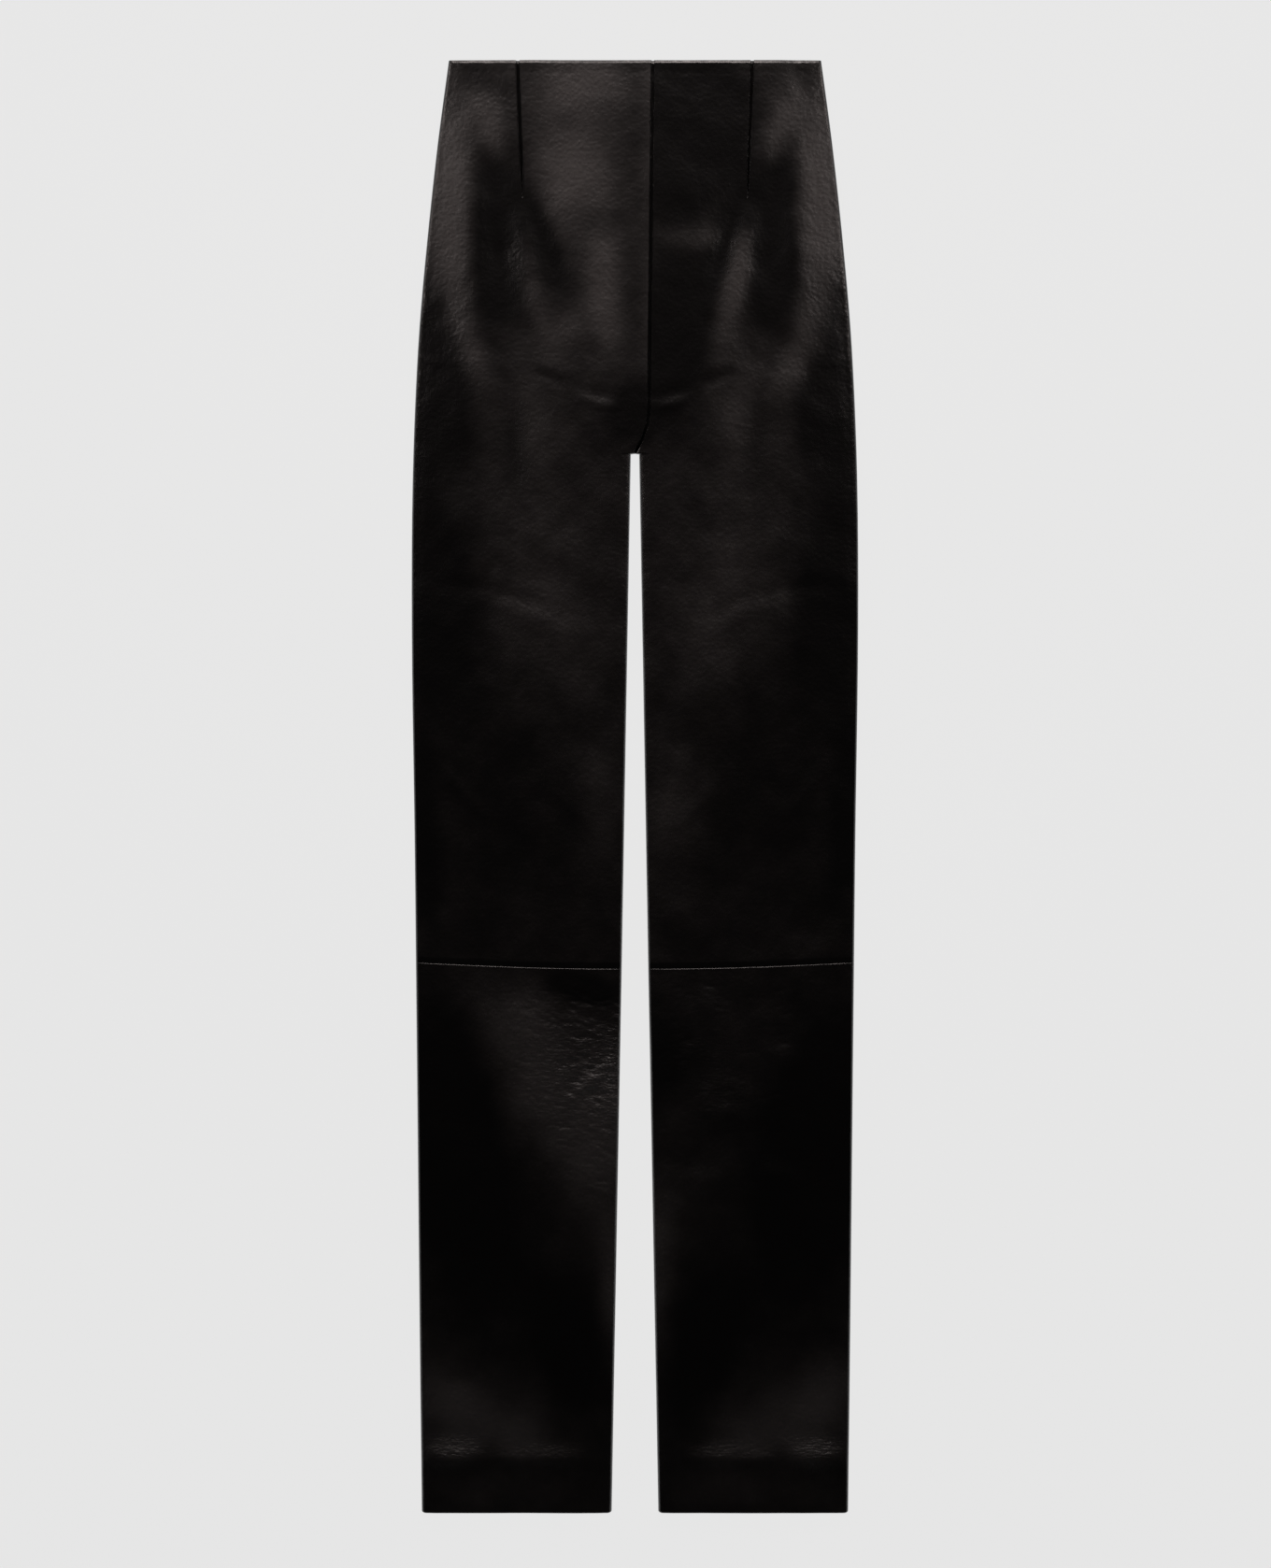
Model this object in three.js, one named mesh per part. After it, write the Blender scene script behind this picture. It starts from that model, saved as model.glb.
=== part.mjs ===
// Leather trousers, high waisted and straight legged, laid flat on their back.
// Millimetres. +Z is up, off the surface. +Y runs to the waist, +X to the wearer's left leg.
// The origin is under the middle of the garment, on the surface it lies on.
//
// Eight panels are cut and sewn: a thigh and a shin panel, front and back, for each leg.
// The back panels lie flat. The front panels lie over them and roll down to them at the
// side seams and inseams. Each shin panel is turned up inside at its hem.

import * as THREE from 'three';

// Driving sizes
const LENGTH = 1120;          // waist edge to hem
const RISE = 303;             // waist edge to crotch
const WALL = 1.2;             // leather, with the seam allowances and paste behind it
const SEAM_GAP = 0.3;         // between pieces that are sewn together
const HEM_DEPTH = 44;         // leather turned up inside each hem
const BACK_HEM_INSET = 6;     // how far that stops from the edges at the back
const KNEE_BELOW_WAIST = 695.5;   // knee seam at the side seam
const KNEE_SLOPE = 5.1;       // how much lower the knee seam ends at the inseam
const CROTCH_STEP = 0.6;      // length over which the centre seam opens into the leg gap
const LEG_GAP = { crotch: 3.2, hem: 18 };            // from the middle line to each inseam
const CENTRE_SEAM = { waist: 13.8, low: 10.6, turn: 34 };  // off-centre, and its last turn in
const DART = { waist: 90.4, tip: 86.7, length: 106, lip: 1.9, depth: 1.5 };

// Heights that follow from them
const WAIST_Y = LENGTH / 2;
const HEM_Y = -LENGTH / 2;
const CROTCH_Y = WAIST_Y - RISE;
const KNEE_Y = WAIST_Y - KNEE_BELOW_WAIST;
const LAYER = WALL + SEAM_GAP;        // one thickness of leather and the gap over it
const HEM_FOLD = WALL + SEAM_GAP / 2; // outer radius of the hem's fold

// Half the garment's width, from the waist down
const OUTLINE = [
  { y: 560, half: 143.6 },
  { y: 498, half: 151.9 },
  { y: 426, half: 159.8 },
  { y: 354, half: 166.3 },
  { y: 282, half: 170.1 },
  { y: 210, half: 172.0 },
  { y: 102, half: 172.1 },
  { y: -42, half: 170.0 },
  { y: -186, half: 168.5 },
  { y: -402, half: 166.3 },
  { y: -560, half: 164.4 },
];

// How high the front lies over the surface, and how wide its roll to the side seam is
const LOFT = [
  { y: 560, height: 4.6, roll: 6 },
  { y: 530, height: 5.2, roll: 8 },
  { y: 400, height: 5.4, roll: 16 },
  { y: 250, height: 5.3, roll: 15 },
  { y: 100, height: 5.2, roll: 9 },
  { y: -140, height: 5.2, roll: 8 },
  { y: -480, height: 5.4, roll: 8 },
  { y: -516, height: 5.9, roll: 7 },
  { y: -560, height: 5.9, roll: 6 },
];

// The largest folds in the front: x is counted outward from the middle line, so one row
// serves both legs. A positive height is a ridge and a negative one is a trough.
const FOLDS = [
  { name: 'hip ridge', x0: 146, y0: 480, x1: 140, y1: 365, width: 10, height: 0.8 },
  { name: 'hip ridge, lower', x0: 140, y0: 365, x1: 108, y1: 296, width: 11, height: 0.7 },
  { name: 'hollow beside the hip', x0: 124, y0: 508, x1: 120, y1: 430, width: 8, height: -0.9 },
  { name: 'ridge beside the dart', x0: 112, y0: 522, x1: 100, y1: 466, width: 8, height: 0.6 },
  { name: 'dart end, outer pucker', x0: 90, y0: 452, x1: 104, y1: 388, width: 8, height: -1.0 },
  { name: 'dart end, inner pucker', x0: 84, y0: 452, x1: 64, y1: 392, width: 8, height: -1.0 },
  { name: 'dart end, ridge between', x0: 87, y0: 444, x1: 66, y1: 328, width: 8, height: 0.9 },
  { name: 'outer drop below the hip', x0: 97, y0: 318, x1: 90, y1: 230, width: 9, height: -0.8 },
  { name: 'crease beside the crotch', x0: 44, y0: 300, x1: 16, y1: 292, width: 7, height: -0.8 },
  { name: 'thigh crease, outer', x0: 156, y0: 154, x1: 96, y1: 151, width: 8, height: -0.8 },
  { name: 'thigh crease, inner', x0: 96, y0: 151, x1: 44, y1: 127, width: 8, height: -0.9 },
  { name: 'ridge under the thigh crease', x0: 92, y0: 132, x1: 56, y1: 116, width: 9, height: 0.6 },
  { name: 'hollow over the knee', x0: 150, y0: -70, x1: 130, y1: -118, width: 14, height: -0.7 },
  { name: 'shin hollow', x0: 150, y0: -185, x1: 118, y1: -310, width: 15, height: -0.8 },
  { name: 'calf ridge', x0: 36, y0: -228, x1: 20, y1: -196, width: 8, height: 0.5 },
  { name: 'hem ridge', x0: 160, y0: -516, x1: 22, y1: -516, width: 5, height: 0.5 },
];

const leather = { color: 0x1a1516, roughness: 0.42, metalness: 0 };

// A cubic through the rows of a table, from the waist down, for the column `name`
function along(table, name, y) {
  const last = table.length - 1;
  if (y >= table[0].y) return table[0][name];
  if (y <= table[last].y) return table[last][name];
  let k = 0;
  while (y < table[k + 1].y) k += 1;
  const slope = (i) => {
    const a = table[Math.max(i - 1, 0)];
    const b = table[Math.min(i + 1, last)];
    return (b[name] - a[name]) / (b.y - a.y);
  };
  const step = table[k + 1].y - table[k].y;
  const t = (y - table[k].y) / step;
  return table[k][name] * (1 + 2 * t) * (1 - t) ** 2
    + slope(k) * step * t * (1 - t) ** 2
    + table[k + 1][name] * t * t * (3 - 2 * t)
    + slope(k + 1) * step * t * t * (t - 1);
}

const { clamp, lerp, smoothstep } = THREE.MathUtils;
const halfWidth = (y) => along(OUTLINE, 'half', y);
const legGap = (y) => lerp(LEG_GAP.crotch, LEG_GAP.hem, (CROTCH_Y - y) / (CROTCH_Y - HEM_Y));

// The front's centre seam runs a little to one side, then turns in to the crotch
function frontCentre(y) {
  const straight = lerp(CENTRE_SEAM.waist, CENTRE_SEAM.low, (WAIST_Y - y) / RISE);
  const turn = clamp(1 - (y - CROTCH_Y) / CENTRE_SEAM.turn, 0, 1);
  return straight * (1 - turn * turn);
}

// Where a panel ends towards the middle: at the centre seam, or at the inseam below it
function innerEdge(side, y, centreSeam) {
  const open = clamp((CROTCH_Y - y) / CROTCH_STEP, 0, 1);
  return lerp(centreSeam(y) + side * SEAM_GAP / 2, side * legGap(y), open);
}

// Rows run straight across down to the crotch and at the hem, and bend with the knee seam
function bentRow(x, y) {
  const straightY = y > KNEE_Y ? CROTCH_Y - CROTCH_STEP : HEM_Y;
  const bend = clamp((y - straightY) / (KNEE_Y - straightY), 0, 1);
  const across = (halfWidth(y) - Math.abs(x)) / (halfWidth(y) - legGap(y));
  return y - KNEE_SLOPE * Math.sin(across * Math.PI / 2) * bend ** 2;
}

// The dart's line, which runs on below it down the middle of the leg
function dartLine(y) {
  const tipY = WAIST_Y - DART.length;
  if (y > tipY) return lerp(DART.tip, DART.waist, (y - tipY) / DART.length);
  const onLeg = smoothstep(tipY - y, 0, 2 * DART.length);
  return lerp(DART.tip, (halfWidth(y) + legGap(y)) / 2, onLeg);
}

// A soft ridge or trough along a line, fading out over its width and past its ends
function foldHeight(fold, x, y) {
  const dx = fold.x1 - fold.x0;
  const dy = fold.y1 - fold.y0;
  const t = clamp(((x - fold.x0) * dx + (y - fold.y0) * dy) / (dx * dx + dy * dy), 0, 1);
  const far = Math.hypot(x - fold.x0 - t * dx, y - fold.y0 - t * dy) / fold.width;
  return fold.height * Math.exp(-far * far);
}

// The front's outer face before it rolls down at its edges
function frontHeight(x, y) {
  const out = Math.abs(x);
  let height = along(LOFT, 'height', y);
  for (const fold of FOLDS) height += foldHeight(fold, out, y);
  const down = clamp((WAIST_Y - y) / DART.length, 0, 1);
  const off = (out - dartLine(y)) / (DART.lip / 2);
  return height - DART.depth * (1 - down ** 3) * Math.exp(-off * off);
}

// A quarter round that rises from 0 at the edge to 1 at `width` from it
function rise(distance, width) {
  const left = 1 - clamp(distance / width, 0, 1);
  return Math.sqrt(1 - left * left);
}

// A point of the front, `inset` under its outer face. Its edges stand just over the back,
// but for its centre seam, which is only turned down a little.
const INSEAM_ROLL = 7;
const SEAM_TURN = 0.88;
const BELOW_DART = { lip: 8, length: 120 };
function frontAt(side, column, y, inset) {
  const sideX = side * (halfWidth(y) - inset);
  const below = smoothstep(CROTCH_Y + CENTRE_SEAM.turn - y, 0, CENTRE_SEAM.turn);
  const pastDart = smoothstep(WAIST_Y - DART.length - y, 0, BELOW_DART.length);
  const innerX = innerEdge(side, y, frontCentre) + side * inset * (y < CROTCH_Y ? 1 : 0);
  const roll = along(LOFT, 'roll', y) - inset;
  const dartX = side * dartLine(y);
  const lip = side * lerp(DART.lip, BELOW_DART.lip, pastDart);
  const stops = {
    side: sideX - side * roll * column.at,
    outer: lerp(sideX - side * roll, dartX + lip, column.at),
    dart: dartX + lip * column.at,
    inner: lerp(dartX - lip, innerX + side * (INSEAM_ROLL - inset), column.at),
    inseam: innerX + side * (INSEAM_ROLL - inset) * column.at,
  };
  const x = stops[column.zone];
  const bentY = bentRow(x, y);
  const sideRise = rise(Math.abs(sideX - x), roll);
  const innerRise = rise(Math.abs(x - innerX), INSEAM_ROLL - inset);
  const height = (frontHeight(x, bentY) - inset - LAYER) * sideRise;
  return new THREE.Vector3(x, bentY, LAYER + height * lerp(lerp(SEAM_TURN, 0, below), 1, innerRise));
}

// Columns across a front panel, from its side seam to its inseam
const EDGE_ROLLS = [0, 0.08, 0.35, 1];
const zone = (name, stops) => stops.map((at) => ({ zone: name, at }));
const FRONT_COLUMNS = [
  ...zone('side', EDGE_ROLLS),
  ...zone('outer', [0.3, 0.65]),
  ...zone('dart', [1, 0, -1]),
  ...zone('inner', [0.2, 0.45, 0.72]),
  ...zone('inseam', [...EDGE_ROLLS].reverse()),
];

// A point of the back, which lies flat on the surface
function backPoint(side, column, y, inset, height) {
  const sideX = side * (halfWidth(y) - inset);
  const innerX = innerEdge(side, y, () => 0) + side * inset * (y < CROTCH_Y ? 1 : 0);
  const x = lerp(sideX, innerX, column.at);
  return new THREE.Vector3(x, bentRow(x, y), height);
}
const BACK_COLUMNS = zone('across', [0, 0.5, 1]);

// Rows down a thigh panel, closer over the hip and at the crotch
const steps = (from, to, count) => Array.from({ length: count }, (_, i) => lerp(from, to, i / count));
const THIGH_ROWS = [
  WAIST_Y, WAIST_Y - 2.5,
  ...steps(WAIST_Y - 14, CROTCH_Y + CENTRE_SEAM.turn, 16),
  ...steps(CROTCH_Y + CENTRE_SEAM.turn, CROTCH_Y, 3),
  CROTCH_Y, CROTCH_Y - CROTCH_STEP,
  ...steps(CROTCH_Y - 18, KNEE_Y + 18, 12),
  KNEE_Y + 18, KNEE_Y + 2.5, KNEE_Y,
];
const SHIN_ROWS = [
  KNEE_Y, KNEE_Y - 2.5,
  ...steps(KNEE_Y - 18, HEM_Y + HEM_DEPTH + 12, 11),
  ...[12, 5, 0, -5].map((over) => HEM_Y + HEM_DEPTH + over),
  ...steps(HEM_Y + HEM_DEPTH - 14, HEM_Y + HEM_FOLD, 2),
];

// A closed wall between an outer and an inner grid of points, rows by columns
function wall(outer, inner, clockwise) {
  const rows = outer.length;
  const columns = outer[0].length;
  const positions = [...outer.flat(), ...inner.flat()].flatMap((p) => [p.x, p.y, p.z]);
  const at = (r, c, face) => face * rows * columns + r * columns + c;
  const index = [];
  const quad = (a, b, c, d) => {
    if (clockwise) index.push(a, c, b, a, d, c);
    else index.push(a, b, c, a, c, d);
  };
  for (let r = 0; r + 1 < rows; r += 1) {
    for (let c = 0; c + 1 < columns; c += 1) {
      quad(at(r, c, 0), at(r + 1, c, 0), at(r + 1, c + 1, 0), at(r, c + 1, 0));
      quad(at(r, c, 1), at(r, c + 1, 1), at(r + 1, c + 1, 1), at(r + 1, c, 1));
    }
  }
  const rim = [];
  for (let r = 0; r + 1 < rows; r += 1) rim.push([r, 0]);
  for (let c = 0; c + 1 < columns; c += 1) rim.push([rows - 1, c]);
  for (let r = rows - 1; r > 0; r -= 1) rim.push([r, columns - 1]);
  for (let c = columns - 1; c > 0; c -= 1) rim.push([0, c]);
  rim.forEach(([r, c], i) => {
    const [r2, c2] = rim[(i + 1) % rim.length];
    quad(at(r2, c2, 0), at(r, c, 0), at(r, c, 1), at(r2, c2, 1));
  });
  const geometry = new THREE.BufferGeometry();
  geometry.setAttribute('position', new THREE.Float32BufferAttribute(positions, 3));
  geometry.setIndex(index);
  geometry.computeVertexNormals();
  return geometry;
}

// The stations that a hem passes: down the outside, round the fold and back up inside.
// Each has its place along the leg and how deep it lies under the outer face.
const FOLD_ANGLES = [0.25, 0.5, 0.75].map((turn) => turn * Math.PI);
function hemStations(radius) {
  const round = (angle) => ({
    y: HEM_Y + HEM_FOLD - radius * Math.sin(angle),
    inset: HEM_FOLD - radius * Math.cos(angle),
    turned: (1 - Math.cos(angle)) / 2,
  });
  const flat = { inset: HEM_FOLD + radius, turned: 1 };
  const up = [HEM_Y + HEM_FOLD, HEM_Y + HEM_DEPTH / 2, HEM_Y + HEM_DEPTH];
  return [round(0), ...FOLD_ANGLES.map(round), ...up.map((y) => ({ y, ...flat }))];
}

// A panel's grid: `rows` down its face, then `hem`, with `point` placing each one
function grid(side, columns, rows, hem, inset, point) {
  const plain = (y) => columns.map((column) => point(side, column, y, inset, 0));
  const turned = (at) => columns.map((column) => point(side, column, at.y, at.inset, at.turned));
  return [...rows.map(plain), ...hem.map(turned)];
}

// The back's layers are stacked from the surface up, and the leather turned up at its hem
// keeps inside the front's
const backAt = (side, column, y, inset, turned) =>
  backPoint(side, column, y, turned * BACK_HEM_INSET, inset);

const trousers = new THREE.Group();

function addPanel(name, side, columns, rows, hemmed, point) {
  const outerHem = hemmed ? hemStations(HEM_FOLD) : [];
  const innerHem = hemmed ? hemStations(SEAM_GAP / 2) : [];
  const outer = grid(side, columns, rows, outerHem, 0, point);
  const inner = grid(side, columns, rows, innerHem, WALL, point);
  const clockwise = (side > 0) !== (point === backAt);
  const mesh = new THREE.Mesh(
    wall(outer, inner, clockwise),
    new THREE.MeshStandardMaterial(leather),
  );
  mesh.name = name;
  trousers.add(mesh);
}

const thighRows = THIGH_ROWS.map((y) => (y === KNEE_Y ? KNEE_Y + SEAM_GAP / 2 : y));
const shinRows = SHIN_ROWS.map((y) => (y === KNEE_Y ? KNEE_Y - SEAM_GAP / 2 : y));

for (const [leg, side] of [['right', -1], ['left', 1]]) {
  addPanel(`front_thigh_${leg}`, side, FRONT_COLUMNS, thighRows, false, frontAt);
  addPanel(`front_shin_${leg}`, side, FRONT_COLUMNS, shinRows, true, frontAt);
  addPanel(`back_thigh_${leg}`, side, BACK_COLUMNS, thighRows, false, backAt);
  addPanel(`back_shin_${leg}`, side, BACK_COLUMNS, shinRows, true, backAt);
}

export default trousers;
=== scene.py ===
"""High-waisted leather trousers, laid flat on their back on a pale table, seen from straight above."""

import bpy
import numpy as np
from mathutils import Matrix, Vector


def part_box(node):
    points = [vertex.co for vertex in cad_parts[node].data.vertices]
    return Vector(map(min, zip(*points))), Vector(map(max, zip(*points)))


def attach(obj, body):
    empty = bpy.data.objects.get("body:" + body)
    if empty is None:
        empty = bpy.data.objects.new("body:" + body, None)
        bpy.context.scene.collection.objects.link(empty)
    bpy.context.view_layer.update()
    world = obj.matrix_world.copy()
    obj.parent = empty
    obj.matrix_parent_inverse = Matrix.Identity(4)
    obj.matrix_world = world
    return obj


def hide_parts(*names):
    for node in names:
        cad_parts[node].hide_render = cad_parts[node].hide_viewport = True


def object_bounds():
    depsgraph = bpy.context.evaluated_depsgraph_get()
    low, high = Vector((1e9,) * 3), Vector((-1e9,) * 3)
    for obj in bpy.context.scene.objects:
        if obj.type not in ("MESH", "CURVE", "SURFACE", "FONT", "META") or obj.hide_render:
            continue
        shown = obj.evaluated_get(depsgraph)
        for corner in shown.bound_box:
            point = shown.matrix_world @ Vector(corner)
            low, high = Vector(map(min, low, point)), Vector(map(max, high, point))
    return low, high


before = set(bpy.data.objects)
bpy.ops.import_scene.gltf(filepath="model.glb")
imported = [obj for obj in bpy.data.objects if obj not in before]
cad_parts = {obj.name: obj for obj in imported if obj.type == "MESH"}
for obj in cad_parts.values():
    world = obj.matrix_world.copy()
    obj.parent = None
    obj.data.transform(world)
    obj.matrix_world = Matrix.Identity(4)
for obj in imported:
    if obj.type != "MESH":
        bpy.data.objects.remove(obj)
CAD_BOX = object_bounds()


# --- Camera ------------------------------------------------------------------------------------
# A long lens straight above the table and square to it. How high it stands comes from how much
# of the table the picture shows, which is a little more than the trousers' own length.
MM = 0.001
low, high = CAD_BOX
ROOM_ROUND_IT = 1.0787
PICTURE_LENGTH = ROOM_ROUND_IT * (high.y - low.y)
LENS, SENSOR = 100.0, 36.0
PAST_MIDDLE = (0.4 * MM, 2.0 * MM)

camera = bpy.data.objects.new("camera", bpy.data.cameras.new("camera"))
camera.data.lens = LENS
camera.data.sensor_width = SENSOR
camera.location = (*PAST_MIDDLE, PICTURE_LENGTH * LENS / SENSOR + high.z)
bpy.context.scene.collection.objects.link(camera)
bpy.context.scene.camera = camera


# --- Nappa -------------------------------------------------------------------------------------
# Black lambskin nappa: drum dyed, finished with a thin semi-gloss film, and ironed. It is almost
# black and a little warm, with a pebbled grain finer than a millimetre. Its tone and gloss vary at
# random from one part of the skin to the next. Over that, light and shade are painted into it: paler
# and rougher as painted light, darker and glossier as painted shade. Where it has been bent often it
# is finely crinkled.
def linear(hex_colour):
    """An sRGB hex colour as the linear one that a shader takes."""
    parts = [int(hex_colour[i:i + 2], 16) / 255 for i in (1, 3, 5)]
    return [c / 12.92 if c <= 0.04045 else ((c + 0.055) / 1.055) ** 2.4 for c in parts] + [1.0]


def add_node(tree, kind, links=None, **settings):
    """Adds a node with its settings. `links` maps inputs to the sockets or values they take."""
    node = tree.nodes.new(kind)
    for name, value in settings.items():
        setattr(node, name, value)
    for name, value in (links or {}).items():
        if isinstance(value, bpy.types.NodeSocket):
            tree.links.new(value, node.inputs[name])
        else:
            node.inputs[name].default_value = value
    return node


NAPPA_DARK, NAPPA_PALE_AND_PAINTED_LIGHT = "#040303", "#1e1918"
NAPPA_IOR = 1.5
GRAIN_MM, CREASE_MM, CLOUD_MM = 2.8, 6.5, 34.0   # the real grain, 0.5 to 1 mm, is drawn coarser to show
CRINKLE_MM, CRINKLE_DEPTH = (4.8, 1.9, 4.8), 1.3 * MM   # longer across the leg than along it
CLOUD_SHARE = 0.95                # how much the random clouds count beside the attribute of painted light and shade
DARKEST_SUM, PALEST_SUM = -0.05, 1.98    # the sums of the two at which the tone is darkest and glossiest, and palest and roughest
DARK_END_RELIEF = 0.4             # how much of the grain's relief is left at the dark, glossy end
CLOUD_DETAIL, CLOUD_ROUGHNESS, CREASE_DETAIL, CRINKLE_DETAIL = 6.0, 0.6, 5.0, 2.0
GRAIN_DEPTH, CREASE_DEPTH = 0.34 * MM, 0.5 * MM
FACTOR, COLOUR_A, COLOUR_B, MIXED = 0, 6, 7, 2   # a colour mix's sockets
VALUE, TIMES, PLUS = 0, 1, 2                     # the sockets of a sum that multiplies first


def nappa(name, smoothest, roughest):
    """Nappa: pale and rough where its attribute of painted light and shade is high (painted light), dark and
    glossy where it is low (painted shade), crinkled by "crinkle".
    """
    material = bpy.data.materials.new(name)
    material.use_nodes = True
    tree = material.node_tree
    tree.nodes.clear()
    place = add_node(tree, "ShaderNodeTexCoord").outputs["Object"]
    cloud = add_node(tree, "ShaderNodeTexNoise", {
        "Vector": place, "Scale": 1 / (CLOUD_MM * MM), "Detail": CLOUD_DETAIL, "Roughness": CLOUD_ROUGHNESS})
    painted_shading = add_node(tree, "ShaderNodeAttribute", attribute_name="painted_shading").outputs["Fac"]
    uneven = add_node(tree, "ShaderNodeMath", {
        VALUE: cloud.outputs["Fac"], TIMES: CLOUD_SHARE, PLUS: painted_shading}, operation="MULTIPLY_ADD")
    mottle_and_painted_shading = add_node(tree, "ShaderNodeMapRange", {
        "Value": uneven.outputs["Value"], "From Min": DARKEST_SUM, "From Max": PALEST_SUM,
    }, interpolation_type="SMOOTHSTEP").outputs["Result"]
    # The tone: pale where light is painted on, dark where shade is painted on, under a random mottling from
    # the clouds
    tone = add_node(tree, "ShaderNodeMix", {
        FACTOR: mottle_and_painted_shading, COLOUR_A: linear(NAPPA_DARK), COLOUR_B: linear(NAPPA_PALE_AND_PAINTED_LIGHT)}, data_type="RGBA")
    gloss = add_node(tree, "ShaderNodeMapRange", {
        "Value": mottle_and_painted_shading, "To Min": smoothest, "To Max": roughest})
    pebble = add_node(tree, "ShaderNodeTexVoronoi", {
        "Vector": place, "Scale": 1 / (GRAIN_MM * MM)}, feature="SMOOTH_F1")
    crease = add_node(tree, "ShaderNodeTexNoise", {
        "Vector": place, "Scale": 1 / (CREASE_MM * MM), "Detail": CREASE_DETAIL})
    relief = add_node(tree, "ShaderNodeMapRange", {
        "Value": mottle_and_painted_shading, "To Min": DARK_END_RELIEF, "To Max": 1.0}).outputs["Result"]
    pebble_bump = add_node(tree, "ShaderNodeBump", {
        "Height": pebble.outputs["Distance"], "Strength": relief, "Distance": GRAIN_DEPTH}, invert=True)
    crease_bump = add_node(tree, "ShaderNodeBump", {
        "Height": crease.outputs["Fac"], "Normal": pebble_bump.outputs["Normal"],
        "Strength": relief, "Distance": CREASE_DEPTH})
    crinkled = add_node(tree, "ShaderNodeAttribute", attribute_name="crinkle").outputs["Fac"]
    stretched = add_node(tree, "ShaderNodeMapping", {
        "Vector": place, "Scale": [1 / (size * MM) for size in CRINKLE_MM]})
    crinkle = add_node(tree, "ShaderNodeTexNoise", {
        "Vector": stretched.outputs["Vector"], "Scale": 1.0, "Detail": CRINKLE_DETAIL})
    crinkle_bump = add_node(tree, "ShaderNodeBump", {
        "Height": crinkle.outputs["Fac"], "Normal": crease_bump.outputs["Normal"],
        "Strength": crinkled, "Distance": CRINKLE_DEPTH})
    skin = add_node(tree, "ShaderNodeBsdfPrincipled", {
        "Base Color": tone.outputs[MIXED], "Roughness": gloss.outputs["Result"],
        "IOR": NAPPA_IOR, "Normal": crinkle_bump.outputs["Normal"]})
    add_node(tree, "ShaderNodeOutputMaterial", {"Surface": skin.outputs["BSDF"]})
    return material


# --- Back panels -------------------------------------------------------------------------------
# Four plain panels of nappa, a thigh and a shin for each leg, flat on the table. Their outline is
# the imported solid's own. Each shin is turned up inside at its hem.
WALL = 1.2 * MM        # leather with its seam allowances
LAYER = 1.5 * MM       # one thickness of leather and the air over it
HEM_DEPTH = 44 * MM
LEGS = {"right": -1, "left": 1}
HEM_Y, WAIST_Y = low.y, high.y
OUTLINE_STEP = 0.5 * MM
KNEE_CLEAR = 1 * MM      # the outline is read this far from the knee seam's gap, and bridged over it
HEM_CLEAR = 0.013 * MM   # and this far over the hem's own edge


def outline(nodes, ys):
    """The solids' lowest and highest x at each y."""
    starts, ends = [], []
    for node in nodes:
        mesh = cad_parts[node].data
        points = np.array([v.co for v in mesh.vertices])
        pairs = np.array([edge.vertices[:] for edge in mesh.edges])
        starts.append(points[pairs[:, 0]])
        ends.append(points[pairs[:, 1]])
    starts, ends = np.concatenate(starts), np.concatenate(ends)
    found = []
    for y in ys:
        crosses = (starts[:, 1] - y) * (ends[:, 1] - y) < 0
        a, b = starts[crosses], ends[crosses]
        x = a[:, 0] + (b[:, 0] - a[:, 0]) * (y - a[:, 1]) / (b[:, 1] - a[:, 1])
        found.append((x.min(), x.max()))
    return np.array(found).T


class Leg:
    """One leg's front or back: x of its side seam and of its inner edge at each y, and its knee seam."""

    def __init__(self, face, leg):
        self.side = LEGS[leg]
        thigh, shin = (f"{face}_{part}_{leg}" for part in ("thigh", "shin"))
        self.knee_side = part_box(shin)[1].y
        self.knee_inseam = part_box(thigh)[0].y
        self.ys = np.concatenate([
            np.arange(HEM_Y + HEM_CLEAR, self.knee_inseam - KNEE_CLEAR, OUTLINE_STEP),
            np.arange(self.knee_side + KNEE_CLEAR, WAIST_Y, OUTLINE_STEP)])
        lows, highs = outline([thigh, shin], self.ys)
        self.outer, self.inner = (lows, highs) if self.side < 0 else (highs, lows)

    def side_x(self, y):
        return np.interp(y, self.ys, self.outer)

    def inner_x(self, y):
        return np.interp(y, self.ys, self.inner)

    def knee_y(self, x):
        """The knee seam, which bows down from the side seam to the inseam."""
        side, inner = self.side_x(self.knee_side), self.inner_x(self.knee_side)
        across = (side - x) / (side - inner)
        return self.knee_side - (self.knee_side - self.knee_inseam) * np.sin(across * np.pi / 2)


legs = {(face, leg): Leg(face, leg) for face in ("front", "back") for leg in LEGS}
LEAST_GAP = 4 * MM   # between the legs, just under the crotch
gap = legs["front", "left"].inner - legs["front", "right"].inner
CROTCH_Y = legs["front", "left"].ys[gap > LEAST_GAP].max()
# Over the crotch the two legs' inner edges are sewn, so both lie on the line between them
for face in ("front", "back"):
    left, right = legs[face, "left"], legs[face, "right"]
    sewn = left.ys > CROTCH_Y + OUTLINE_STEP / 2
    left.inner[sewn] = right.inner[sewn] = (left.inner[sewn] + right.inner[sewn]) / 2


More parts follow.
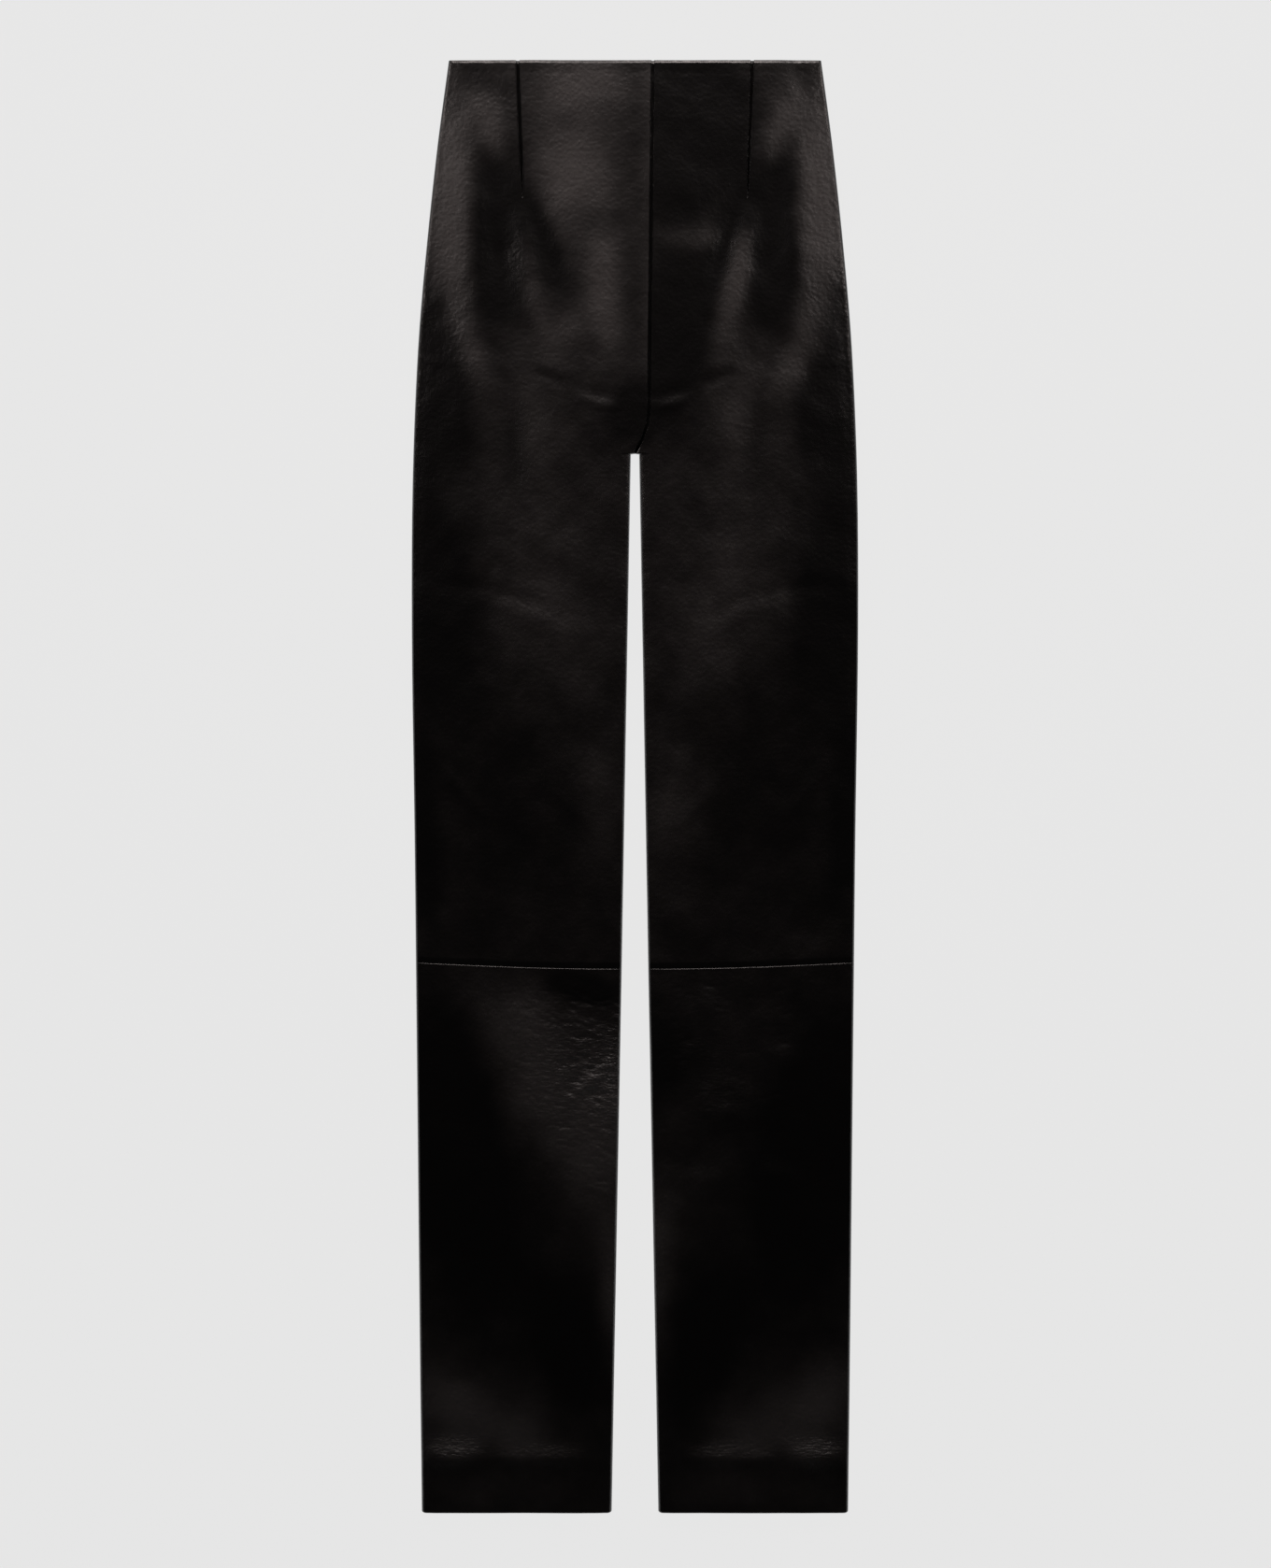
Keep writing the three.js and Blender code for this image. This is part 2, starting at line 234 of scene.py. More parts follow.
def shell(name, outer, inner, side):
    """A closed wall between two grids of points, rows by columns, closed along its four edges."""
    rows, columns = outer.shape[:2]
    index = np.arange(2 * rows * columns).reshape(2, rows, columns)
    a, b, c, d = index[0, :-1, :-1], index[0, 1:, :-1], index[0, 1:, 1:], index[0, :-1, 1:]
    faces = [np.stack([a, b, c, d], -1).reshape(-1, 4)]
    lift = rows * columns
    faces.append(np.stack([a, d, c, b], -1).reshape(-1, 4) + lift)
    rim = np.concatenate([index[0, :-1, 0], index[0, -1, :-1], index[0, :0:-1, -1], index[0, 0, :0:-1]])
    after = np.roll(rim, -1)
    faces.append(np.stack([after, rim, rim + lift, after + lift], -1))
    faces = np.concatenate(faces)
    if side > 0:
        faces = faces[:, ::-1]
    mesh = bpy.data.meshes.new(name)
    mesh.from_pydata(np.concatenate([outer, inner]).reshape(-1, 3).tolist(), [], faces.tolist())
    mesh.polygons.foreach_set("use_smooth", [True] * len(mesh.polygons))
    mesh.update()
    piece = bpy.data.objects.new(name, mesh)
    bpy.context.scene.collection.objects.link(piece)
    return piece


def declare(piece, node):
    """Attaches the piece to the root and hides the solid that it stands for."""
    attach(piece, "root")
    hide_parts(node)


HEM_MIDDLE = LAYER - (LAYER - WALL) / 2   # how deep under the face the hem's fold turns
HEM_RADII = {"outer": HEM_MIDDLE, "inner": (LAYER - WALL) / 2}
HEM_TURN_ROWS, HEM_ROWS = 9, 24
BACK_HEM_INSET = 6 * MM                   # the turned up part is this much narrower at each side


def hem_stations(radius):
    """Round the fold and up inside, row by row: y, depth under the face, share turned."""
    angle = np.linspace(0, np.pi, HEM_TURN_ROWS)
    y = HEM_Y + HEM_MIDDLE - radius * np.sin(angle)
    depth = HEM_MIDDLE - radius * np.cos(angle)
    turned = (1 - np.cos(angle)) / 2
    up = np.linspace(HEM_Y + HEM_MIDDLE, HEM_Y + HEM_DEPTH, HEM_ROWS)[1:]
    flat = np.ones(len(up))
    return (np.concatenate([y, up]), np.concatenate([depth, flat * (HEM_MIDDLE + radius)]),
            np.concatenate([turned, flat]))


def rows_between(start, end, step):
    return np.linspace(start, end, int(abs(end - start) / step) + 1)


BACK_COLUMNS, BACK_ROW = 40, 6 * MM
CROTCH_ROWS = CROTCH_Y + np.array([0.5, 0, -0.6]) * MM   # close rows, where the legs part
UNDER_CROTCH = 2 * MM
HEM_START = 2 * MM                                       # the fold's own rows start this far over the hem


def back_grid(leg, ys, turned, height):
    """The points of one of a back's faces, row by row, narrower where the hem is turned up."""
    across = np.linspace(0, 1, BACK_COLUMNS)[None, :]
    y = np.repeat(ys[:, None], across.shape[1], 1)
    outer = leg.side_x(y) - leg.side * turned[:, None] * BACK_HEM_INSET
    inner = leg.inner_x(y) + leg.side * turned[:, None] * BACK_HEM_INSET
    x = outer + (inner - outer) * across
    z = np.repeat(height[:, None], across.shape[1], 1)
    return np.stack([x, y, z], -1)


def bend_rows(leg, x, y):
    """Rows bend with the knee seam and run straight across at the crotch and the hem."""
    straight = np.where(y > leg.knee_side, CROTCH_Y - UNDER_CROTCH, HEM_Y)
    share = np.clip((y - straight) / (leg.knee_side - straight), 0, 1) ** 2
    return y + (leg.knee_y(x) - leg.knee_side) * share


BACK_ROUGHNESS = (0.32, 0.6)
back_leather = nappa("nappa_back", *BACK_ROUGHNESS)
for leg_name in LEGS:
    leg = legs["back", leg_name]
    for part in ("thigh", "shin"):
        node = f"back_{part}_{leg_name}"
        grids = []
        for face, height in (("outer", 0.0), ("inner", WALL)):
            if part == "thigh":
                ys = np.concatenate([
                    rows_between(WAIST_Y, CROTCH_Y + 1 * MM, BACK_ROW),
                    CROTCH_ROWS,
                    rows_between(CROTCH_Y - UNDER_CROTCH, leg.knee_side, BACK_ROW)])
                turned, z = ys * 0, ys * 0 + height
            else:
                down = rows_between(leg.knee_side, HEM_Y + HEM_START, BACK_ROW)
                hem_y, hem_z, hem_turned = hem_stations(HEM_RADII[face])
                ys = np.concatenate([down, hem_y])
                turned = np.concatenate([down * 0, hem_turned])
                z = np.concatenate([down * 0 + height, hem_z])
            points = back_grid(leg, ys, turned, z)
            points[..., 1] = bend_rows(leg, points[..., 0], points[..., 1])
            grids.append(points)
        piece = shell(f"{node}_leather", grids[0], grids[1], -leg.side)
        piece.data.materials.append(back_leather)
        declare(piece, node)


# --- Front panels ------------------------------------------------------------------------------
# Four panels over the back ones. Their side edges roll down to the side seams. The soft leather
# keeps shallow folds from being worn and folded, and puckers under the ends of the darts.

# How high the leather lies, in mm: up from the middle of the length, height over the table, width
# of the slope at the side seam, how much lower it lies beside that slope, and how far in it takes
# to rise again
UP, HEIGHT, SLOPE, FALL, REACH = range(5)
LOFT = [
    (560, 5.4, 10, 0.8, 34), (546, 6.2, 10, 1.2, 34), (500, 7.6, 12, 2.0, 38), (400, 8.2, 14, 2.2, 42),
    (250, 7.8, 12, 1.2, 55), (100, 7.6, 10, 0.8, 65), (-60, 6.8, 9, 0.4, 60), (-140, 6.6, 9, 0.2, 60),
    (-200, 7.6, 9, 0.4, 65), (-300, 8.2, 9, 0.5, 85), (-400, 8.0, 9, 0.4, 90), (-470, 7.4, 9, 0.2, 70),
    (-515, 7.0, 8, 0.0, 60), (-560, 6.6, 8, 0.0, 60)]
LOFT_EASE = 25   # how softly one row of that table passes into the next, in mm
INSEAM_SLOPE = 9 * MM
DART_LENGTH, DART_LIP, DART_SPREAD = 106 * MM, 3.0 * MM, 6 * MM
DART_END = WAIST_Y - DART_LENGTH
DART_EASE = 120 * MM              # under the dart's end its columns spread out over this length
DART_X = (86.7 * MM, 90.4 * MM)   # at its end and at the waist
GROOVE_HALF, GROOVE_DEPTH = 1.3, 3.2   # of the darts and the centre seam, in mm
TURN_IN = 10 * MM                 # over the crotch, the inner edges turn down over this length

# One row a fold: which leg (0 for both), the start, middle and end of its curve, counted out from
# the middle line and up from the middle of the length, then its half width and height, in mm
FOLDS = [
    # the hip's ridge and the hollows beside it
    (0, (128, 532), (134, 440), (112, 318), 15, 1.8),
    (0, (128, 372), (120, 322), (102, 286), 11, 0.8),
    (0, (114, 504), (104, 430), (106, 350), 15, -1.2),
    (0, (110, 536), (104, 505), (97, 466), 9, 0.9),
    (0, (120, 348), (116, 338), (110, 330), 8, -0.8),
    (0, (130, 330), (117, 312), (101, 300), 8, 0.5),
    (0, (168, 331), (158, 328), (146, 323), 3, 0.25),
    # puckers under the dart's end
    (0, (89, 458), (98, 436), (100, 370), 9, -0.5),
    (0, (84, 458), (72, 425), (56, 378), 8, -1.3),
    (0, (88, 448), (84, 400), (62, 318), 9, 0.8),
    (0, (98, 312), (93, 270), (90, 215), 9, -0.9),
    # creases at the crotch and over the thigh
    (0, (80, 320), (66, 316), (50, 308), 4, -0.7),
    (0, (78, 327), (64, 324), (48, 316), 7, 0.7),
    (0, (48, 304), (28, 290), (8, 294), 4, 0.6),
    (0, (48, 311), (28, 298), (8, 302), 5, -0.5),
    (0, (84, 282), (68, 270), (50, 250), 14, 0.8),
    (0, (162, 154), (104, 160), (40, 122), 7, -0.7),
    (0, (112, 142), (80, 138), (46, 110), 9, 0.6),
    (0, (116, 188), (100, 184), (86, 168), 11, 0.8),
    (0, (86, 192), (62, 184), (40, 164), 12, 0.8),
    (0, (110, 130), (84, 98), (50, 52), 16, 1.0),
    (0, (50, 106), (38, 88), (26, 66), 10, -0.7),
    (0, (62, -3), (48, -14), (32, -36), 4, 0.4),
    (0, (154, 22), (136, -4), (112, -26), 5, 0.5),
    (0, (166, -66), (150, -100), (122, -124), 13, -1.0),
    (0, (36, -86), (22, -104), (8, -122), 10, 0.7),
    # the wearer's right front alone
    (-1, (42, 490), (46, 466), (51, 438), 10, 0.6),
    (-1, (28, 428), (26, 410), (28, 390), 10, 0.6),
    (-1, (54, 424), (53, 410), (50, 396), 9, -0.5),
    (-1, (34, 338), (31, 331), (28, 322), 6, -0.4),
    # the wearer's left front alone
    (1, (86, 450), (84, 390), (50, 322), 10, 0.5),
    (1, (22, 422), (50, 414), (78, 420), 11, 0.7),
    (1, (24, 446), (50, 440), (78, 446), 11, -0.6),
    (1, (27, 534), (38, 531), (50, 525), 3, 0.25),
    # the wearer's right shin
    (-1, (56, -246), (36, -232), (10, -204), 4, 1.1),
    (-1, (56, -236), (38, -222), (14, -200), 4, -0.45),
    (-1, (44, -305), (28, -312), (12, -315), 3, 0.3),
    (-1, (158, -158), (136, -220), (114, -320), 16, -1.2),
    (-1, (168, -180), (160, -188), (150, -196), 7, 0.5),
    (-1, (120, -150), (80, -175), (44, -190), 18, 0.7),
    # the wearer's left shin
    (1, (50, -160), (58, -170), (64, -182), 9, 1.3),
    (1, (90, -204), (110, -206), (132, -216), 10, 1.5),
    (1, (54, -250), (70, -250), (84, -256), 9, 1.5),
    (1, (30, -300), (50, -304), (72, -306), 10, 1.5),
    (1, (94, -296), (110, -298), (126, -304), 10, 1.3),
    (1, (70, -212), (84, -226), (100, -236), 9, -1.1),
    (1, (40, -215), (50, -226), (60, -232), 9, -1.0),
    (1, (82, -274), (88, -290), (84, -312), 9, -1.0),
    # the lower shins
    (0, (150, -300), (124, -360), (92, -420), 18, -0.8),
    (0, (58, -440), (46, -462), (30, -490), 12, -0.5),
    (0, (160, -492), (136, -498), (108, -496), 8, -0.3),
    (0, (167, -516), (143, -518), (112, -516), 8, 2.0),
    (0, (112, -517), (98, -518), (84, -517), 6, 1.0),
    (0, (80, -517), (60, -518), (34, -517), 6, 1.3),
]


# Slow swells and fine ripples: count, shortest and longest wave, and height in mm
RIPPLES = [(14, 45, 110, 0.10), (22, 14, 34, 0.022)]
chance = np.random.default_rng(7)
TURN = 2 * np.pi
WAVES = [(chance.uniform(0, TURN), chance.uniform(0, TURN), chance.uniform(shortest, longest), tall)
         for count, shortest, longest, tall in RIPPLES for _ in range(count)]


def ripples(x, y):
    return sum(tall * np.sin((x * np.cos(way) + y * np.sin(way)) * TURN / long + phase)
               for way, phase, long, tall in WAVES)


# Fine creases where the knee has bent: the leg, the middle and the half size of the patch they lie
# in, and how many, then the least and the most of their length, half width and height, in mm
WRINKLED = [(-1, 30, -204, 19, 40, 190), (-1, 58, -200, 34, 44, 130), (-1, 36, -270, 24, 34, 70),
            (1, 70, -210, 50, 60, 50)]
WRINKLE_LENGTH, WRINKLE_WIDTH, WRINKLE_HEIGHT = (5, 14), (1.0, 1.6), (0.1, 0.34)
WRINKLE_TILT, WRINKLE_TILT_SPREAD, WRINKLE_BOW = 0.25, 0.3, 1.5


def wrinkles():
    """Short creases strewn over each patch, most of them running across the leg."""
    rows = []
    for leg, across, up, half_across, half_up, count in WRINKLED:
        for _ in range(count):
            a = across + half_across * chance.uniform(-1, 1)
            b = up + half_up * chance.uniform(-1, 1)
            run = chance.uniform(*WRINKLE_LENGTH) / 2
            tilt = chance.normal(WRINKLE_TILT, WRINKLE_TILT_SPREAD)
            bow = chance.uniform(-WRINKLE_BOW, WRINKLE_BOW)
            rows.append((leg, (a - run, b - run * tilt), (a, b + bow), (a + run, b + run * tilt),
                         chance.uniform(*WRINKLE_WIDTH), -chance.uniform(*WRINKLE_HEIGHT)))
    return rows


DABS, DAB_REACH, END_TAPER = 13, 3, 0.8


def fold_height(out, up, row):
    """A soft ridge or trough along a curve, built of overlapping dabs that fade to its ends."""
    _, start, middle, end, width, height = row
    t = np.linspace(0.0, 1.0, DABS + 2)[1:-1]
    spine = [(1 - t) ** 2 * start[k] + 2 * t * (1 - t) * middle[k] + t ** 2 * end[k] for k in (0, 1)]
    weight = np.sin(np.pi * t) ** END_TAPER
    reach = DAB_REACH * width
    near = ((out > spine[0].min() - reach) & (out < spine[0].max() + reach)
            & (up > spine[1].min() - reach) & (up < spine[1].max() + reach))
    total = np.zeros_like(out)
    x, y = out[near], up[near]
    dabs = sum(w * np.exp(-((x - a) ** 2 + (y - b) ** 2) / width ** 2) for a, b, w in zip(*spine, weight))
    from_centre = sum((line - line[DABS // 2]) ** 2 for line in spine)
    full = (weight * np.exp(-from_centre / width ** 2)).sum()
    total[near] = height * dabs / full
    return total


def rows_on(leg, rows):
    return [row for row in rows if row[0] in (0, leg.side)]


ALL_FOLDS = FOLDS + wrinkles()

# Painted light and shade, in rows like those of the folds but with an amount in place of the height:
# above nought the skin is painted paler and rougher, as light; below nought, darker and glossier, as shade
PAINTED_SHADING = [
    # hips: the painted highlight band, and the painted shade in the hollow inside it and on the side edge
    (0, (132, 540), (150, 450), (138, 360), 16, 1.0),
    (0, (134, 372), (126, 325), (106, 290), 11, 0.6),
    (0, (124, 540), (110, 505), (98, 465), 11, 0.8),
    (0, (108, 500), (102, 425), (108, 350), 16, -1.3),
    (0, (166, 400), (164, 310), (162, 200), 14, -1.0),
    (0, (146, 335), (144, 290), (138, 240), 13, -0.9),
    # under the dart
    (0, (88, 446), (84, 395), (64, 325), 8, 0.4),
    (0, (84, 460), (70, 418), (54, 376), 9, -0.8),
    (0, (92, 300), (92, 260), (92, 215), 9, -0.3),
    (0, (86, 340), (78, 280), (66, 220), 22, 0.4),
    # the wearer's right front, by the centre seam
    (-1, (10, 550), (44, 540), (74, 536), 18, 1.0),
    (-1, (66, 510), (56, 470), (50, 430), 18, 0.7),
    (-1, (44, 500), (38, 480), (24, 450), 18, 0.5),
    (-1, (26, 430), (28, 390), (18, 320), 13, 1.1),
    (-1, (40, 365), (56, 345), (74, 356), 16, 0.6),
    (-1, (44, 550), (42, 490), (34, 430), 34, 0.5),
    # the wearer's left front, by the centre seam
    (1, (24, 570), (40, 500), (20, 440), 36, -1.3),
    (1, (66, 560), (70, 510), (68, 460), 20, -0.8),
    (1, (38, 405), (30, 350), (10, 270), 26, -1.2),
    (1, (14, 424), (44, 420), (72, 424), 10, 0.5),
    (1, (86, 440), (82, 380), (52, 320), 11, 0.6),
    # crotch
    (0, (0, 306), (1, 288), (6, 268), 11, -1.3),
    # thighs
    (0, (84, 210), (70, 150), (46, 70), 40, 0.4),
    (0, (158, 220), (152, 140), (146, 50), 26, -1.0),
    (0, (110, 60), (100, 0), (90, -100), 50, -0.3),
    (0, (167, 60), (164, -20), (160, -110), 12, -0.6),
    (0, (34, 40), (26, -10), (20, -80), 18, 0.4),
    # shins
    (-1, (128, -164), (84, -180), (40, -190), 26, 0.5),
    (-1, (22, -190), (24, -250), (22, -350), 26, 0.8),
    (-1, (104, -165), (80, -220), (56, -300), 30, 0.7),
    (-1, (64, -200), (46, -260), (28, -340), 26, 0.4),
    (-1, (72, -146), (44, -155), (12, -162), 9, -1.0),
    (-1, (156, -170), (146, -280), (110, -410), 34, -1.4),
    (1, (22, -180), (22, -210), (22, -240), 16, -0.6),
    (1, (22, -290), (20, -320), (22, -360), 18, 0.5),
    (1, (156, -170), (146, -280), (110, -410), 34, -1.4),
    (0, (66, -370), (54, -430), (38, -490), 24, -0.9),
    (0, (18, -320), (17, -385), (18, -455), 12, 0.7),
    (0, (160, -440), (146, -480), (120, -504), 22, 0.9),
    (0, (160, -476), (104, -482), (50, -478), 24, 0.5),
    (0, (120, -500), (90, -500), (60, -500), 16, 0.6),
    (0, (164, -508), (140, -510), (112, -508), 9, 0.8),
    (0, (108, -510), (70, -511), (34, -510), 7, 0.5),
    (0, (166, -540), (90, -540), (14, -540), 15, 0.25),
]
SEAM_SHADE, SEAM_SHADE_EASE = 3.0, 0.2   # in the grooves of the darts and the centre seam
KNEE_SHADE, KNEE_SHADE_UP, KNEE_SHADE_WIDTH = 1.0, 2.0, 2.0   # the dark line over the knee seam

# Where the leather is finely crinkled, mostly where a knee has bent, in rows like those above
CRINKLED = [
    (-1, (8, -165), (12, -215), (8, -275), 24, 0.9), (-1, (60, -170), (60, -212), (44, -270), 32, 0.6),
    (1, (40, -170), (64, -210), (60, -260), 34, 0.3), (0, (164, -507), (138, -509), (110, -507), 10, 1.0),
    (0, (106, -509), (70, -510), (30, -509), 8, 0.6)]


PAST_ENDS = 700   # in mm from the middle of the length, which ends at 560
EVERY_MM = np.arange(-PAST_ENDS, PAST_ENDS + 1)
EASE = np.exp(-(np.arange(-3 * LOFT_EASE, 3 * LOFT_EASE + 1) / LOFT_EASE) ** 2)


def loft(up, column):
    """A column of the loft's table, with its corners eased out."""
    table = np.array(LOFT)[::-1]
    straight = np.interp(EVERY_MM, table[:, UP], table[:, column])
    padded = np.pad(straight, len(EASE) // 2, mode="edge")
    return np.interp(up, EVERY_MM, np.convolve(padded, EASE / EASE.sum(), mode="valid"))


def smooth(t):
    """From 0 to 1 as t does, easing out of the one and into the other."""
    t = np.clip(t, 0, 1)
    return t * t * (3 - 2 * t)


def dart_x(leg, y):
    """The dart's line, which is carried on down to the middle of the leg as a line of the mesh."""
    above = DART_X[0] + (DART_X[1] - DART_X[0]) * (y - DART_END) / DART_LENGTH
    middle = (abs(leg.side_x(y)) + abs(leg.inner_x(y))) / 2
    on_leg = smooth((DART_END - y) / (2 * DART_LENGTH))
    below = DART_X[0] + (middle - DART_X[0]) * on_leg
    return leg.side * np.where(y > DART_END, above, below)


NARROWING, NARROWING_POWER = 0.85, 5   # a dart's groove narrows most near its end


def groove_half(y):
    """Half the width of a dart's groove, in mm."""
    down = np.clip((WAIST_Y - y) / DART_LENGTH, 0, 1)
    return GROOVE_HALF * (1 - NARROWING * down ** NARROWING_POWER)


# Painted light and shade at each point: the patches above, less the painted shade in the grooves and over
# the knee seam
def painted_shading_at(leg, x, y):
    total = sum(fold_height(abs(x) / MM, y / MM, row) for row in rows_on(leg, PAINTED_SHADING))
    off = np.where(y > DART_END, abs(x - dart_x(leg, y)) / MM - groove_half(y), 1)
    beside = np.where(y > CROTCH_Y, abs(x - leg.inner_x(y)) / MM - GROOVE_HALF, 1)
    slot = 1 - smooth(np.minimum(off, beside) / SEAM_SHADE_EASE)
    past = (y - leg.knee_y(x)) / MM
    knee = np.exp(-((past - KNEE_SHADE_UP) / KNEE_SHADE_WIDTH) ** 2)
    return total - SEAM_SHADE * slot - KNEE_SHADE * knee


def crinkle_at(leg, x, y):
    return sum(fold_height(abs(x) / MM, y / MM, row) for row in rows_on(leg, CRINKLED))


# All in mm. Ridges: height, how far beside the seam, half width
DART_RIDGE = (0.12, 4.2, 1.6)
CENTRE_RIDGE = (0.14, 4, 1.6)
CENTRE_EASE = 3   # the centre seam's groove starts over this length
KNEE_DROP, KNEE_OVER, KNEE_UNDER = 0.5, 1.9, 0.22   # how deep, and how far the seam pulls either side
KNEE_LOOSE, KNEE_MIDDLE, KNEE_PULL = 0.6, 85, 45    # it pulls less away from the middle of the leg
HEM_STEP, HEM_STEP_LENGTH = 0.3, 6
WAIST_TURN, WAIST_TURN_LENGTH = 1.0, 1.2
PRESSED, PRESSED_UNDER, PRESSED_WIDTH = 0.12, 9, 1.0


def front_height(leg, x, y):
    """The front's face over the table before it turns down at its edges, in metres."""
    out, up = abs(x) / MM, y / MM
    inward = abs(leg.side_x(y) - x) / MM
    height = loft(up, HEIGHT) - loft(up, FALL) * (1 - smooth(inward / loft(up, REACH)))
    height = height + ripples(x / MM, up)
    for row in rows_on(leg, ALL_FOLDS):
        height = height + fold_height(out, up, row)
    # the dart's groove and the ridges beside it
    down = np.clip((WAIST_Y - y) / DART_LENGTH, 0, 1)
    off = (x - dart_x(leg, y)) / MM
    height = height - GROOVE_DEPTH * (abs(off) < groove_half(y)) * (y > DART_END)
    tall, place, width = DART_RIDGE
    height = height + tall * (1 - down ** 2) * np.exp(-((abs(off) - place) / width) ** 2)
    # the centre seam
    beside = abs(x - leg.inner_x(y)) / MM
    above = smooth((y - CROTCH_Y) / (CENTRE_EASE * MM))
    height = height - above * GROOVE_DEPTH * (beside < GROOVE_HALF)
    tall, place, width = CENTRE_RIDGE
    height = height + above * tall * np.exp(-((beside - place) / width) ** 2)
    # the knee seam
    past = (y - leg.knee_y(x)) / MM
    pulled = KNEE_LOOSE + (1 - KNEE_LOOSE) * np.exp(-((out - KNEE_MIDDLE) / KNEE_PULL) ** 2)
    height = height - KNEE_DROP * pulled * np.exp(-abs(past) / np.where(past > 0, KNEE_OVER, KNEE_UNDER))
    # the hem's upper edge, seen through the leather
    over = (y - (HEM_Y + HEM_DEPTH)) / MM
    height = height + HEM_STEP * smooth(-over / HEM_STEP_LENGTH + 0.5)
    # the waist's turned edge and the line pressed under it
    under = (WAIST_Y - y) / MM
    height = height - WAIST_TURN * np.exp(-(under / WAIST_TURN_LENGTH) ** 2)
    height = height - PRESSED * np.exp(-((under - PRESSED_UNDER) / PRESSED_WIDTH) ** 2)
    return height * MM


EDGE_ROUND, EDGE_LEAST = 2.0 * MM, 0.3 * MM   # how tightly the leather turns down at its edges
EDGE_SHARE = 0.85                             # how much of its fall is in that turn

# The mesh's columns: round the side's turn, and round the inner edge's with the centre groove's
# wall between the fifth and the sixth. Then on a dart's lip, either side of its groove's wall in
# mm, and how many lie evenly between
ROUND_COLUMNS = 1 - np.cos(np.linspace(0, np.pi / 2, 6))
SEAM_COLUMNS = np.array([0, 0.05, 0.19, 0.41, 0.64, 0.66, 0.68, 1])
LIP_COLUMNS = np.array([1, 0.7])
WALL_COLUMNS = np.array([0.08, 0.02, -0.016])
SIDE_COLUMNS, OUTER_COLUMNS, INNER_COLUMNS, INSEAM_COLUMNS = 4, 25, 30, 3


def edge_radius(inset):
    return np.maximum(EDGE_ROUND - inset, EDGE_LEAST)


def edge_rise(distance, slope_width, inset):
    """The share of its height that the leather has at a distance in from its edge."""
    left = 1 - np.clip(distance / edge_radius(inset), 0, 1)
    return EDGE_SHARE * np.sqrt(1 - left * left) + (1 - EDGE_SHARE) * smooth(distance / slope_width)


def between(a, b, count):
    return a + (b - a) * np.linspace(0, 1, count + 2)[None, 1:-1]


def front_columns(leg, y, inset):
    """x for each column of each row, from the side seam over the dart's line to the inner edge."""
    side_in, inner_in = -leg.side, leg.side
    side = leg.side_x(y) + side_in * inset
    below = np.where(y < CROTCH_Y, 1.0, 0.0)
    inner = leg.inner_x(y) + inner_in * inset * below
    dart = dart_x(leg, y)
    lip = leg.side * (DART_LIP + DART_SPREAD * smooth((DART_END - y) / DART_EASE))
    lips = lip * LIP_COLUMNS[None, :]
    walls = leg.side * (groove_half(y) + WALL_COLUMNS[None, :]) * MM
    side_turn = side + side_in * edge_radius(inset) * ROUND_COLUMNS[None, :]
    inner_turn = inner + inner_in * edge_radius(inset) * SEAM_COLUMNS[None, ::-1]
    side_slope = side + side_in * loft(y / MM, SLOPE) * MM
    inner_slope = inner + inner_in * INSEAM_SLOPE
    columns = [side_turn,
               between(side_turn[:, -1:], side_slope, SIDE_COLUMNS),
               side_slope,
               between(side_slope, dart + lip, OUTER_COLUMNS),
               dart + lips,
               dart + walls,
               dart - walls[:, ::-1],
               dart - lips[:, ::-1],
               between(dart - lip, inner_slope, INNER_COLUMNS),
               inner_slope,
               between(inner_slope, inner_turn[:, :1], INSEAM_COLUMNS),
               inner_turn]
    return np.concatenate(columns, 1), side, inner


def front_grid(leg, ys, inset):
    """The points of a front, row by row, `inset` under its outer face."""
    inset, row_y = inset[:, None], ys[:, None]
    x, side, inner = front_columns(leg, row_y, inset)
    y = bend_rows(leg, x, np.repeat(row_y, x.shape[1], 1))
    turned_in = smooth((CROTCH_Y + TURN_IN - y) / TURN_IN)
    side_rise = edge_rise(abs(side - x), loft(row_y / MM, SLOPE) * MM, inset)
    inner_rise = 1 + (edge_rise(abs(x - inner), INSEAM_SLOPE, inset) - 1) * turned_in
    height = (front_height(leg, x, y) - inset - LAYER) * side_rise * inner_rise
    return np.stack([x, y, LAYER + height], -1)


def add_attribute(piece, name, values):
    piece.data.attributes.new(name, "FLOAT", "POINT").data.foreach_set("value", values.astype(np.float32))


FRONT_ROUGHNESS = (0.28, 0.62)
front_leather = nappa("nappa_front", *FRONT_ROUGHNESS)
